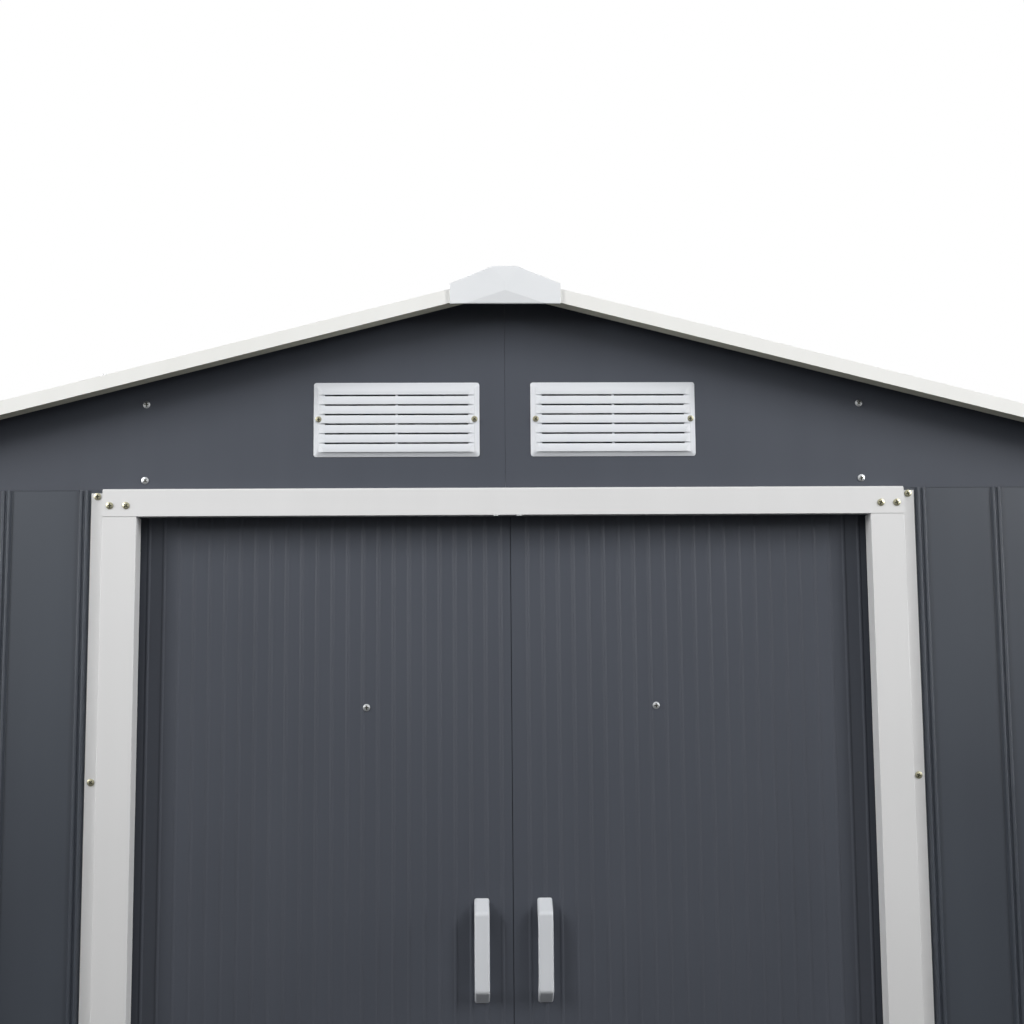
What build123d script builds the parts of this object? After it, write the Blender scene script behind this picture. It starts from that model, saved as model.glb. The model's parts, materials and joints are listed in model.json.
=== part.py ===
"""Metal storage shed: a gabled sheet-steel shed with two sliding doors, built panel by panel.

Millimetres, +Z up. The origin lies on the ground in the middle of the plan and the doors face -Y.
"""
import os
from math import cos, hypot, radians, sin, tan

from build123d import *

# Overall sizes
WALL_WIDTH = 2376.0
WALL_DEPTH = 1810.0
WALL_HEIGHT = 1580.0
ROOF_PITCH = 14.3
EAVE_LIFT = 1.5
EAVE_OVERHANG = 72.0
FASCIA_OVERHANG = 60.0

# Sheet and small gaps
SHEET = 0.8
FRAME_SHEET = 1.0
RAIL_SHEET = 1.2
FIT_GAP = 0.3
GROUND_GAP = 4.0

# Double ribs pressed into the wall and roof sheets: two crowns with a groove between
RIB_DEPTH = 6.0
RIB_BASE = 17.0
RIB_CROWNS = 11.2
RIB_GROOVE = 6.0
RIB_GROOVE_DEPTH = 4.0
RIB_PITCH = 115.0

# Corner posts
POST_LEG = 52.0
POST_FLANK = 5.0
POST_FLANGE = 14.0

# Doorway: jambs and header
JAMB_HALF_SPAN = 618.0
JAMB_FLANGE = 20.4
JAMB_FACE = 50.6
JAMB_RISE = 13.2
JAMB_BACK = 22.0
JAMB_LIP = 13.0
JAMB_TOP_DROP = 4.0
HEADER_HEIGHT = 41.0
HEADER_BEVEL = 3.0
HEADER_RETURN = 12.0
HEADER_SEAM = 0.05
JAMB_RIB_OFFSET = 10.4

# Top track of the doors
TRACK_ABOVE_WALL = 24.0
TRACK_LIP_IN = 64.0
TRACK_GUTTER = 16.0
TRACK_FLOOR_DROP = 8.0
TRACK_LIP = 8.0
ROOF_CLEAR = 2.0

# Base and inner rails
RAIL_HEIGHT = 40.0
RAIL_FLANGE = 40.0
RAIL_DEEP = 20.0
GUIDE_IN = 47.0
GUIDE_LIP = 18.0
ANCHOR_RADIUS = 5.0
ANCHOR_SPACING = 1200.0
MID_RAIL_Z = 800.0

# Gables and their vents
GABLE_FLANGE = 18.0
GABLE_SEAM = 0.3
GABLE_END = 15.0
GABLE_LAP = 10.0
VENT_WIDTH = 249.6
VENT_HEIGHT = 113.4
VENT_CENTRE_X = 163.4
VENT_RISE = 106.2
VENT_CORNER = 4.0
VENT_FACE = 5.0
VENT_EDGE = 1.2
VENT_BEVEL = 7.0
VENT_WALL = 2.0
SLATS = 7
SLAT_PITCH = 14.6
SLAT_RISE = 2.6
SLAT_BULGE_SHARE = 0.72
SLAT_LIP = 1.0
SLAT_MARGIN = 8.0
SLAT_END_RUN = 7.0
SLOT_HEIGHT = 2.2
SLOT_MARGIN = 17.0
SLOT_BRIDGE = 3.6
VENT_HOLE_MARGIN = 12.0
VENT_BOSS_INSET = 7.6
VENT_BOSS_RADIUS = 5.6
VENT_BOSS_RISE = 0.8

# Roof edge trims
TRIM_TOP_FLANGE = 52.0
TRIM_LIP = 28.0
TRIM_BELOW = 12.6
EAVE_LIP_WIDTH = 16.0
EDGE_GAP = 0.6
CORNER_CAP_LEG = 58.0
CORNER_CAP_WALL = 2.0

# Ridge
RIDGE_OPENING = 10.0
RIDGE_CAP_HALF = 79.2
RIDGE_END_HALF = 82.0
RIDGE_FLAT_HALF = 18.0
RIDGE_RISE = 19.6
RIDGE_SIDE_DROP = 25.3
RIDGE_END_DROP = 56.5
RIDGE_END_WALL = 2.4
RIDGE_END_PROUD = 6.0
RIDGE_NOSE = 5.0
RIDGE_NOSE_TOP = 25.0
RIDGE_NOSE_BOTTOM = 37.0
RIDGE_NOSE_BASE = 60.0
RIDGE_HOOD = 72.0

# Purlins
PURLIN_X = 539.0
PURLIN_HEIGHT = 56.0
PURLIN_FLANGE = 28.0

# Doors
DOOR_FACE = 36.0
DOOR_BOTTOM = 28.0
DOOR_TOP_ABOVE_HEADER = 17.0
DOOR_COVER = 22.0
DOOR_SEAM_X = 7.6
DOOR_SEAM = 1.0
DOOR_RETURN = 14.0
DOOR_LAP_STEP = 6.0
DOOR_LAP = 16.0
BEAD_PITCH = 23.0
BEAD_BASE = 6.4
BEAD_CROWN = 1.6
BEAD_DEPTH = 0.9
BEAD_LEFT_MARGIN = 24.8
BEAD_RIGHT_MARGIN = 12.0
BRACE_HEIGHT = 36.0
BRACE_DEEP = 18.0
BRACE_INSET = 26.0
BRACE_HEIGHTS = (785.0, 1255.5)
HANGER_INSET = 90.0
HANGER_LENGTH = 44.0
HANGER_PLATE = 4.0
HANGER_HEAD = 6.0
HANGER_LIFT = 3.0
HANGER_GRIP = 30.0
SHOE_LENGTH = 36.0
SHOE_WIDTH = 12.0
SHOE_SLOT = 5.0
SHOE_FLOOR_GAP = 4.0
SHOE_SLOT_ROOF = 3.0
HANDLE_FROM_SEAM = 46.0
HANDLE_Z = 900.0
HANDLE_LENGTH = 150.0
HANDLE_WIDTH = 22.0
HANDLE_REACH = 30.0
HANDLE_GRIP = 9.0
HANDLE_FOOT = 18.0
HANDLE_BEND = 8.0
HANDLE_ROUND = 3.0

# Derived positions
HALF_WIDTH = WALL_WIDTH / 2
HALF_DEPTH = WALL_DEPTH / 2
PITCH = radians(ROOF_PITCH)
APEX = WALL_HEIGHT + EAVE_LIFT + tan(PITCH) * HALF_WIDTH
DOWN_SLOPE = (cos(PITCH), 0, -sin(PITCH))
SLOPE_LENGTH = (HALF_WIDTH + EAVE_OVERHANG) / cos(PITCH)
CROWN = SHEET + RIB_DEPTH
TRIM_TOP = CROWN + FRAME_SHEET
PAN_IN = RIB_DEPTH + SHEET
FRONT = -HALF_DEPTH
GABLE_BACK = FRONT + RIB_DEPTH
GABLE_FACE = GABLE_BACK - SHEET
FASCIA = FRONT - FASCIA_OVERHANG
ROOF_END = -FASCIA - FRAME_SHEET - EDGE_GAP
EAVE_FACE = SLOPE_LENGTH + EDGE_GAP + FRAME_SHEET
RAIL_HALF_WIDTH = HALF_WIDTH - PAN_IN
RAIL_HALF_DEPTH = HALF_DEPTH - PAN_IN
TRACK_TOP = WALL_HEIGHT + TRACK_ABOVE_WALL
TRACK_FLOOR = WALL_HEIGHT - TRACK_FLOOR_DROP
TRACK_BACK = TRACK_LIP_IN + TRACK_GUTTER
HEADER_BOTTOM = WALL_HEIGHT - HEADER_HEIGHT
HEADER_HALF = JAMB_HALF_SPAN - JAMB_FLANGE
OPENING_HALF = HEADER_HALF - JAMB_FACE
DOOR_TOP = HEADER_BOTTOM + DOOR_TOP_ABOVE_HEADER
DOOR_WIDTH = OPENING_HALF + DOOR_COVER
VENT_Z = WALL_HEIGHT + VENT_RISE
RIDGE_TOP = APEX + RIDGE_RISE


def folded(line, gauge):
    """Outline of a sheet bent along a line, its gauge on the left of the way the line runs."""
    ways = []
    for (x0, y0), (x1, y1) in zip(line, line[1:]):
        run = hypot(x1 - x0, y1 - y0)
        ways.append(((x1 - x0) / run, (y1 - y0) / run))
    other = []
    for i, (x, y) in enumerate(line):
        before = ways[max(i - 1, 0)]
        after = ways[min(i, len(ways) - 1)]
        reach = gauge / (1 + before[0] * after[0] + before[1] * after[1])
        other.append((x - (before[1] + after[1]) * reach, y + (before[0] + after[0]) * reach))
    return list(line) + other[::-1]


def along_x(outline, low, high):
    """Body with a (y, z) outline, running along X."""
    plane = Plane(origin=(low, 0, 0), x_dir=(0, 1, 0), z_dir=(1, 0, 0))
    return extrude(plane * Polygon(*outline), amount=high - low, dir=(1, 0, 0))


def along_y(outline, low, high):
    """Body with an (x, z) outline, running along Y."""
    plane = Plane(origin=(0, low, 0), x_dir=(1, 0, 0), z_dir=(0, -1, 0))
    return extrude(plane * Polygon(*outline), amount=high - low, dir=(0, 1, 0))


def along_z(outline, low, high):
    """Body with an (x, y) outline, standing along Z."""
    return extrude(Plane.XY.offset(low) * Polygon(*outline), amount=high - low, dir=(0, 0, 1))


def rectangle(x, y):
    """Corners of a rectangle between two limits on each axis."""
    return [(x[0], y[0]), (x[1], y[0]), (x[1], y[1]), (x[0], y[1])]


def block(x, y, z):
    """Box between two limits on each axis."""
    return along_z(rectangle(x, y), *z)


def down_slope(outline, low, high):
    """Body with a (y, height above the right roof slope) outline, running down that slope."""
    start = (low * DOWN_SLOPE[0], 0, APEX + low * DOWN_SLOPE[2])
    plane = Plane(origin=start, x_dir=(0, 1, 0), z_dir=DOWN_SLOPE)
    return extrude(plane * Polygon(*outline), amount=high - low, dir=DOWN_SLOPE)


def across_slope(outline, low, high):
    """Body with a (distance down the right slope, height above it) outline, running along Y."""
    plane = Plane(origin=(0, low, APEX), x_dir=DOWN_SLOPE, z_dir=(0, -1, 0))
    return extrude(plane * Polygon(*outline), amount=high - low, dir=(0, 1, 0))


def roof_z(x):
    """Height of the underside of the roof over a place across the shed."""
    return APEX - tan(PITCH) * abs(x)


def left_right(shape):
    """A piece together with its mirror image on the other side of the shed."""
    return shape + mirror(shape, about=Plane.YZ)


def front_rear(shape):
    """A piece together with its mirror image at the other end of the shed."""
    return shape + mirror(shape, about=Plane.XZ)


def rib_line(low, high, centres, lapped):
    """Face line of a ribbed sheet: flat at 0, crowns at -RIB_DEPTH, a lapping rib left open at its end."""
    half_rib = [(RIB_GROOVE / 2, -RIB_DEPTH), (RIB_CROWNS / 2, -RIB_DEPTH), (RIB_BASE / 2, 0)]
    rib = [(-s, d) for s, d in half_rib[::-1]] + [(0, RIB_GROOVE_DEPTH - RIB_DEPTH)] + half_rib
    line = [(low, 0)] + [(c + s, d) for c in centres for s, d in rib]
    if not lapped:
        return line + [(high, 0)]
    flank_run = (RIB_BASE - RIB_CROWNS) / 2
    line[-1] = (line[-1][0] - flank_run * SHEET / RIB_DEPTH, -SHEET)
    return line


def ribbed_panels(low, high, margin, splits):
    """Face lines of the sheets that cover a wall or slope, each lapping the next on a shared rib."""
    count = int((high - low - 2 * margin - RIB_BASE) // RIB_PITCH)
    first = (low + high - count * RIB_PITCH) / 2
    centres = [first + i * RIB_PITCH for i in range(count + 1)]
    ends = [int(share * count) + 1 for share in splits]
    lines = [rib_line(low, high, centres[:ends[0]], True)]
    for begin, end in zip(ends, ends[1:] + [None]):
        lines.append(rib_line(centres[begin - 1], high, centres[begin:end], end is not None))
    return lines


def wall_sheet(line, bottom, top):
    """Ribbed sheet standing with its crowns on y = 0, facing -Y."""
    face = [(s, RIB_DEPTH + d) for s, d in line]
    return along_z(folded(face, SHEET), bottom, top)


def turned(shape, angle, x, y):
    """A front-facing sheet turned about Z and moved to its wall."""
    return Location((x, y, 0), (0, 0, angle)) * shape


parts = {}

# Base rails: the front one is the threshold that guides the doors
threshold = [(FRONT + PAN_IN, RAIL_HEIGHT), (FRONT + PAN_IN, 0), (FRONT + GUIDE_IN, 0),
             (FRONT + GUIDE_IN, GUIDE_LIP)]
rail_reach = RAIL_HALF_WIDTH - FIT_GAP
parts["base_rail_front"] = along_x(folded(threshold, RAIL_SHEET), -rail_reach, rail_reach)
rear_rail = [(-threshold[0][0], RAIL_HEIGHT), (RAIL_HALF_DEPTH, 0), (RAIL_HALF_DEPTH - RAIL_FLANGE, 0)]
parts["base_rail_rear"] = along_x(folded(rear_rail, -RAIL_SHEET), -rail_reach, rail_reach)
side_rail = [(RAIL_HALF_WIDTH, RAIL_HEIGHT), (RAIL_HALF_WIDTH, 0), (RAIL_HALF_WIDTH - RAIL_FLANGE, 0)]
side_rail = along_y(folded(side_rail, -RAIL_SHEET), FRONT + GUIDE_IN + FIT_GAP,
                    RAIL_HALF_DEPTH - RAIL_FLANGE - FIT_GAP)
anchor_x = RAIL_HALF_WIDTH - RAIL_FLANGE / 2
for anchor_y in (-ANCHOR_SPACING / 2, ANCHOR_SPACING / 2):
    side_rail -= Pos(anchor_x, anchor_y, 0) * Cylinder(ANCHOR_RADIUS, RAIL_HEIGHT)
parts["base_rails_side"] = left_right(side_rail)

# Corner posts: each wraps its corner and lies on the flats of both walls
post_end = POST_LEG + POST_FLANK
post_seat = RIB_DEPTH - SHEET
post = [(post_seat, post_end + POST_FLANGE), (post_seat, post_end), (0, POST_LEG), (0, 0), (POST_LEG, 0),
        (post_end, post_seat), (post_end + POST_FLANGE, post_seat)]
post = [(x - HALF_WIDTH, y - HALF_DEPTH) for x, y in post]
post = along_z(folded(post, SHEET), GROUND_GAP, WALL_HEIGHT - FIT_GAP)
parts["corner_posts_front"] = left_right(post)
parts["corner_posts_rear"] = mirror(parts["corner_posts_front"], about=Plane.XZ)

# Walls: the ribs of the end walls stop under the gables, which lap the flats between them
end_wall_top = WALL_HEIGHT + GABLE_LAP
rib_ends = block((-HALF_WIDTH, HALF_WIDTH), (2 * FRONT, GABLE_BACK), (WALL_HEIGHT, end_wall_top))
flat_start = POST_LEG + POST_FLANK
jamb_rib = JAMB_HALF_SPAN + JAMB_RIB_OFFSET
front_low = -HALF_WIDTH + flat_start
front_ribs = int((HALF_WIDTH - flat_start - POST_FLANGE - jamb_rib - RIB_BASE) // RIB_PITCH)
front_centres = [-jamb_rib - i * RIB_PITCH for i in range(front_ribs, -1, -1)]
front_line = rib_line(front_low, -HEADER_HALF - FRAME_SHEET - FIT_GAP, front_centres, False)
front_wall = turned(wall_sheet(front_line, GROUND_GAP, end_wall_top), 0, 0, FRONT) - rib_ends
parts["front_wall_left"] = front_wall
parts["front_wall_right"] = mirror(front_wall, about=Plane.YZ)
half_shares = (0.5,)
third_shares = (0.34, 0.7)
side_lines = ribbed_panels(-HALF_DEPTH + flat_start, HALF_DEPTH - flat_start, POST_FLANGE, half_shares)
for end, line in zip(("front", "rear"), side_lines):
    side_wall = turned(wall_sheet(line, GROUND_GAP, WALL_HEIGHT), 90, HALF_WIDTH, 0)
    parts["right_wall_" + end] = side_wall
    parts["left_wall_" + end] = mirror(side_wall, about=Plane.YZ)
rear_lines = ribbed_panels(-HALF_WIDTH + flat_start, HALF_WIDTH - flat_start, POST_FLANGE, third_shares)
rear_names = ("rear_wall_right", "rear_wall_middle", "rear_wall_left")
for name, line in zip(rear_names, rear_lines):
    rear_wall = turned(wall_sheet(line, GROUND_GAP, end_wall_top), 180, 0, HALF_DEPTH)
    parts[name] = rear_wall - mirror(rib_ends, about=Plane.XZ)

# Doorway frame
jamb_face = FRONT - JAMB_RISE
jamb = [(-JAMB_HALF_SPAN, FRONT + RIB_DEPTH - FRAME_SHEET), (-HEADER_HALF, FRONT + RIB_DEPTH - FRAME_SHEET),
        (-HEADER_HALF, jamb_face), (-OPENING_HALF, jamb_face), (-OPENING_HALF, FRONT + JAMB_BACK),
        (-OPENING_HALF - JAMB_LIP, FRONT + JAMB_BACK)]
jamb = along_z(folded(jamb, FRAME_SHEET), GROUND_GAP, WALL_HEIGHT - JAMB_TOP_DROP)
jamb_x = (-JAMB_HALF_SPAN, -OPENING_HALF + FIT_GAP)
jamb -= block(jamb_x, (FRONT + RIB_DEPTH, FRONT + TRACK_BACK), (HEADER_BOTTOM - FIT_GAP, WALL_HEIGHT))
jamb -= block(jamb_x, (FRONT + RIB_DEPTH, FRONT + TRACK_BACK), (0, RAIL_HEIGHT + FIT_GAP))
parts["door_jamb_left"] = jamb
parts["door_jamb_right"] = mirror(jamb, about=Plane.YZ)
header_face = jamb_face - FRAME_SHEET
header = [(FRONT + PAN_IN, WALL_HEIGHT), (header_face + HEADER_BEVEL, WALL_HEIGHT),
          (header_face, WALL_HEIGHT - HEADER_BEVEL), (header_face, HEADER_BOTTOM),
          (header_face + HEADER_RETURN, HEADER_BOTTOM)]
header = along_x(folded(header, FRAME_SHEET), -HEADER_HALF, -HEADER_SEAM / 2)
header -= block((-HEADER_HALF, -OPENING_HALF + FRAME_SHEET), (jamb_face, FRONT + TRACK_BACK),
                (HEADER_BOTTOM, HEADER_BOTTOM + HEADER_HEIGHT / 2))
parts["door_header_left"] = header
parts["door_header_right"] = mirror(header, about=Plane.YZ)

# Track: an upturned gutter along the back carries the door hangers
over_roof = [(-WALL_WIDTH, roof_z(WALL_WIDTH) - ROOF_CLEAR), (0, APEX - ROOF_CLEAR),
             (WALL_WIDTH, roof_z(WALL_WIDTH) - ROOF_CLEAR), (WALL_WIDTH, 2 * APEX), (-WALL_WIDTH, 2 * APEX)]
over_roof = along_y(over_roof, -WALL_DEPTH, WALL_DEPTH)
track = [(FRONT + PAN_IN, HEADER_BOTTOM), (FRONT + PAN_IN, TRACK_TOP), (FRONT + TRACK_BACK, TRACK_TOP),
         (FRONT + TRACK_BACK, TRACK_FLOOR), (FRONT + TRACK_LIP_IN, TRACK_FLOOR),
         (FRONT + TRACK_LIP_IN, TRACK_FLOOR + TRACK_LIP)]
parts["door_track"] = along_x(folded(track, -RAIL_SHEET), -rail_reach, rail_reach) - over_roof

# Inner rails at the wall tops and at half height
rail_low_y = FRONT + TRACK_BACK + FIT_GAP
rail_high_y = RAIL_HALF_DEPTH - RAIL_DEEP - FIT_GAP


def side_channel(middle):
    """Channel along a side wall, open to the inside."""
    low = middle - RAIL_HEIGHT / 2
    high = middle + RAIL_HEIGHT / 2
    inner = RAIL_HALF_WIDTH - RAIL_DEEP
    line = [(inner, high), (RAIL_HALF_WIDTH, high), (RAIL_HALF_WIDTH, low), (inner, low)]
    return left_right(along_y(folded(line, -RAIL_SHEET), rail_low_y, rail_high_y))


def rear_channel(low, high):
    """Channel along the rear wall, open to the inside."""
    inner = RAIL_HALF_DEPTH - RAIL_DEEP
    line = [(inner, high), (RAIL_HALF_DEPTH, high), (RAIL_HALF_DEPTH, low), (inner, low)]
    return along_x(folded(line, -RAIL_SHEET), -rail_reach, rail_reach)


top_side = side_channel(WALL_HEIGHT - RAIL_HEIGHT / 2 - FIT_GAP)
parts["top_rails"] = top_side + (rear_channel(WALL_HEIGHT - RAIL_DEEP, TRACK_TOP) - over_roof)
mid_rear = rear_channel(MID_RAIL_Z - RAIL_HEIGHT / 2, MID_RAIL_Z + RAIL_HEIGHT / 2)
parts["mid_rails"] = side_channel(MID_RAIL_Z) + mid_rear

# Gables: half sheets that lap the walls, flanged under the roof and along the middle seam
gable_end = HALF_WIDTH - GABLE_END
gable = [(GABLE_SEAM / 2, WALL_HEIGHT + FIT_GAP), (gable_end, WALL_HEIGHT + FIT_GAP),
         (gable_end, roof_z(gable_end)), (GABLE_SEAM / 2, roof_z(GABLE_SEAM / 2))]
gable = along_y(gable, GABLE_FACE, GABLE_BACK)
flange_start = RIDGE_OPENING / 2
gable_y = (GABLE_FACE, GABLE_BACK + GABLE_FLANGE)
gable += down_slope(rectangle(gable_y, (-SHEET, 0)), flange_start,
                    gable_end / cos(PITCH))
gable += block((GABLE_SEAM / 2, GABLE_SEAM / 2 + SHEET), gable_y,
               (TRACK_TOP + GABLE_LAP, roof_z(GABLE_FLANGE)))
hole_x = VENT_WIDTH / 2 - VENT_HOLE_MARGIN
hole_z = VENT_HEIGHT / 2 - VENT_HOLE_MARGIN
vent_hole_x = (VENT_CENTRE_X - hole_x, VENT_CENTRE_X + hole_x)
vent_hole_z = (VENT_Z - hole_z, VENT_Z + hole_z)
gable -= block(vent_hole_x, (GABLE_FACE, GABLE_BACK), vent_hole_z)
parts["front_gable_right"] = gable
parts["front_gable_left"] = mirror(gable, about=Plane.YZ)
parts["rear_gable_right"] = mirror(gable, about=Plane.XZ)
parts["rear_gable_left"] = mirror(parts["front_gable_left"], about=Plane.XZ)

# Vents: a bevelled plate, hollow behind, with a swelling slat over each slot
vent_plane = Plane(origin=(VENT_CENTRE_X, GABLE_FACE, VENT_Z), x_dir=(1, 0, 0), z_dir=(0, -1, 0))
vent_foot = RectangleRounded(VENT_WIDTH, VENT_HEIGHT, VENT_CORNER)
vent_top = RectangleRounded(VENT_WIDTH - 2 * VENT_BEVEL, VENT_HEIGHT - 2 * VENT_BEVEL, VENT_CORNER)
vent = extrude(vent_plane * vent_foot, amount=VENT_EDGE)
vent += loft([vent_plane.offset(VENT_EDGE) * vent_foot, vent_plane.offset(VENT_FACE) * vent_top])
plate_face = GABLE_FACE - VENT_FACE
vent -= block(vent_hole_x, (plate_face + VENT_WALL, GABLE_FACE), vent_hole_z)
slat_root = plate_face + VENT_WALL / 2
slat_tip = plate_face - SLAT_RISE
slat_reach = VENT_WIDTH / 2 - SLAT_MARGIN
slat_plane = Plane(origin=(VENT_CENTRE_X - slat_reach, 0, VENT_Z), x_dir=(0, 1, 0), z_dir=(1, 0, 0))
slat_high = (SLAT_PITCH - SLOT_HEIGHT) / 2
slat_bulge = (plate_face - SLAT_RISE * SLAT_BULGE_SHARE, SLAT_LIP)
slat = ThreePointArc((plate_face, slat_high), slat_bulge, (slat_tip, SLAT_LIP - slat_high))
slat += Polyline((slat_tip, SLAT_LIP - slat_high), (slat_tip, -slat_high), (slat_root, -slat_high),
                 (slat_root, slat_high), (plate_face, slat_high))
slat = extrude(slat_plane * make_face(slat), amount=2 * slat_reach, dir=(1, 0, 0))
slat_ends = [(-slat_reach, slat_root), (-slat_reach, plate_face), (SLAT_END_RUN - slat_reach, slat_tip),
             (slat_reach - SLAT_END_RUN, slat_tip), (slat_reach, plate_face), (slat_reach, slat_root)]
slat_ends = [(VENT_CENTRE_X + x, y) for x, y in slat_ends]
slat &= along_z(slat_ends, VENT_Z - slat_high, VENT_Z + slat_high)
slot_reach = VENT_WIDTH / 2 - SLOT_MARGIN
for i in range(SLATS):
    vent += Pos(0, 0, (SLATS - 1 - 2 * i) * SLAT_PITCH / 2) * slat
for i in range(1, SLATS):
    slot_z = VENT_Z + (SLATS - 2 * i) * SLAT_PITCH / 2
    for slot_x in ((-slot_reach, -SLOT_BRIDGE / 2), (SLOT_BRIDGE / 2, slot_reach)):
        slot_x = [VENT_CENTRE_X + x for x in slot_x]
        vent -= block(slot_x, (slat_tip, GABLE_FACE), (slot_z - SLOT_HEIGHT / 2, slot_z + SLOT_HEIGHT / 2))
boss = extrude(vent_plane * Circle(VENT_BOSS_RADIUS), amount=VENT_FACE + VENT_BOSS_RISE)
for boss_x in (VENT_BOSS_INSET - VENT_WIDTH / 2, VENT_WIDTH / 2 - VENT_BOSS_INSET):
    vent += Pos(boss_x, 0, 0) * boss
parts["front_vents"] = left_right(vent)
parts["rear_vents"] = mirror(parts["front_vents"], about=Plane.XZ)

# Purlins under the roof sheets, borne by the gable flanges
purlin_u = PURLIN_X / cos(PITCH)
purlin = [(purlin_u + PURLIN_FLANGE, -SHEET), (purlin_u, -SHEET), (purlin_u, -SHEET - PURLIN_HEIGHT),
          (purlin_u + PURLIN_FLANGE, -SHEET - PURLIN_HEIGHT)]
purlin = across_slope(folded(purlin, RAIL_SHEET), GABLE_BACK + FIT_GAP, -GABLE_BACK - FIT_GAP)
parts["roof_purlins"] = left_right(purlin)

# Roof sheets
roof_lines = ribbed_panels(-ROOF_END, ROOF_END, 0, half_shares)
for name, line in zip(("front", "rear"), roof_lines):
    face = [(s, SHEET - d) for s, d in line]
    sheet = down_slope(folded(face, -SHEET), RIDGE_OPENING, SLOPE_LENGTH)
    parts["roof_right_" + name] = sheet
    parts["roof_left_" + name] = mirror(sheet, about=Plane.YZ)

# Trims along the gable and eave edges of the roof, the former notched where the ridge cap passes over
trim_start = RIDGE_END_HALF + EDGE_GAP
fascia = [(FASCIA + TRIM_TOP_FLANGE, TRIM_TOP), (FASCIA, TRIM_TOP), (FASCIA, -TRIM_BELOW),
          (FASCIA + TRIM_LIP, -TRIM_BELOW)]
fascia = down_slope(folded(fascia, FRAME_SHEET), 0, EAVE_FACE)
fascia -= block((-trim_start, EDGE_GAP / 2), (2 * FASCIA, 0), (0, 2 * APEX))
fascia -= down_slope(rectangle((2 * FASCIA, 0), (CROWN - FIT_GAP, 2 * TRIM_TOP)), -trim_start, trim_start)
parts["front_trim_right"] = fascia
parts["front_trim_left"] = mirror(fascia, about=Plane.YZ)
parts["rear_trims"] = mirror(left_right(fascia), about=Plane.XZ)
eave = [(EAVE_FACE - EAVE_LIP_WIDTH, -TRIM_BELOW), (EAVE_FACE, -TRIM_BELOW), (EAVE_FACE, TRIM_TOP),
        (EAVE_FACE - TRIM_TOP_FLANGE, TRIM_TOP)]
eave_reach = -FASCIA - TRIM_TOP_FLANGE - FIT_GAP
eave = across_slope(folded(eave, FRAME_SHEET), -eave_reach, eave_reach)
parts["eave_trims"] = left_right(eave)

# Moulded caps over the four roof corners
cap_gap = FIT_GAP + CORNER_CAP_WALL
cap_outer = rectangle((EAVE_FACE - CORNER_CAP_LEG, EAVE_FACE + cap_gap),
                      (-TRIM_BELOW - cap_gap, TRIM_TOP + cap_gap))
cap_inner = rectangle((0, EAVE_FACE + FIT_GAP), (-TRIM_BELOW - FIT_GAP, TRIM_TOP + FIT_GAP))
corner_cap = across_slope(cap_outer, FASCIA - cap_gap, FASCIA + CORNER_CAP_LEG)
corner_cap -= across_slope(cap_inner, FASCIA - FIT_GAP, 0)
parts["roof_corner_caps"] = front_rear(left_right(corner_cap))

# Ridge cap and its moulded end caps
ridge_side = RIDGE_TOP - RIDGE_SIDE_DROP
cap_drop = RIDGE_END_WALL + FIT_GAP
cap_flat = RIDGE_FLAT_HALF - FIT_GAP
crown_z = roof_z(RIDGE_CAP_HALF - FRAME_SHEET) + CROWN / cos(PITCH)
ridge = [(-RIDGE_CAP_HALF, crown_z), (-RIDGE_CAP_HALF, ridge_side - cap_drop),
         (-cap_flat, RIDGE_TOP - cap_drop), (cap_flat, RIDGE_TOP - cap_drop),
         (RIDGE_CAP_HALF, ridge_side - cap_drop), (RIDGE_CAP_HALF, crown_z)]
ridge_end = FASCIA - RIDGE_END_PROUD
plate_back = ridge_end + RIDGE_END_WALL
parts["ridge_cap"] = along_y(folded(ridge, -FRAME_SHEET), plate_back + FIT_GAP, -plate_back - FIT_GAP)
end_bottom = RIDGE_TOP - RIDGE_END_DROP
hood_bottom = roof_z(RIDGE_END_HALF - RIDGE_END_WALL) + TRIM_TOP / cos(PITCH)
end_sides = [(-RIDGE_END_HALF, ridge_side), (-RIDGE_FLAT_HALF, RIDGE_TOP), (RIDGE_FLAT_HALF, RIDGE_TOP),
             (RIDGE_END_HALF, ridge_side)]
skirt = [(-RIDGE_END_HALF, end_bottom)] + end_sides + [(RIDGE_END_HALF, end_bottom)]
hood = [(-RIDGE_END_HALF, hood_bottom)] + end_sides + [(RIDGE_END_HALF, hood_bottom)]
end_cap = along_y(folded(skirt, -RIDGE_END_WALL), ridge_end, FASCIA - FIT_GAP)
end_cap += along_y(folded(hood, -RIDGE_END_WALL), ridge_end, ridge_end + RIDGE_HOOD)
prow = [(-RIDGE_END_HALF, plate_back), (-RIDGE_END_HALF, ridge_end), (0, ridge_end - RIDGE_NOSE),
        (RIDGE_END_HALF, ridge_end), (RIDGE_END_HALF, plate_back)]
prow = along_z(prow, end_bottom, RIDGE_TOP) & along_y(skirt, ridge_end - RIDGE_NOSE, plate_back)
nose_y = ridge_end - RIDGE_NOSE
nose_top = RIDGE_TOP - RIDGE_NOSE_TOP
nose_bottom = RIDGE_TOP - RIDGE_NOSE_BOTTOM
top_back = nose_y + RIDGE_NOSE * RIDGE_FLAT_HALF / RIDGE_END_HALF
base_back = nose_y + RIDGE_NOSE * RIDGE_NOSE_BASE / RIDGE_END_HALF
prow -= along_x([(nose_y, nose_top), (top_back, RIDGE_TOP), (nose_y, RIDGE_TOP)],
                -RIDGE_END_HALF, RIDGE_END_HALF)
prow -= along_x([(nose_y, nose_bottom), (nose_y, end_bottom), (base_back, end_bottom)],
                -RIDGE_END_HALF, RIDGE_END_HALF)
parts["ridge_end_caps"] = front_rear(end_cap + prow)

# Doors: the same beaded sheet twice, the right one lapping behind the left
door_y = FRONT + DOOR_FACE
brace_y = door_y + SHEET
brace_back = brace_y + BRACE_DEEP


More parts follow.
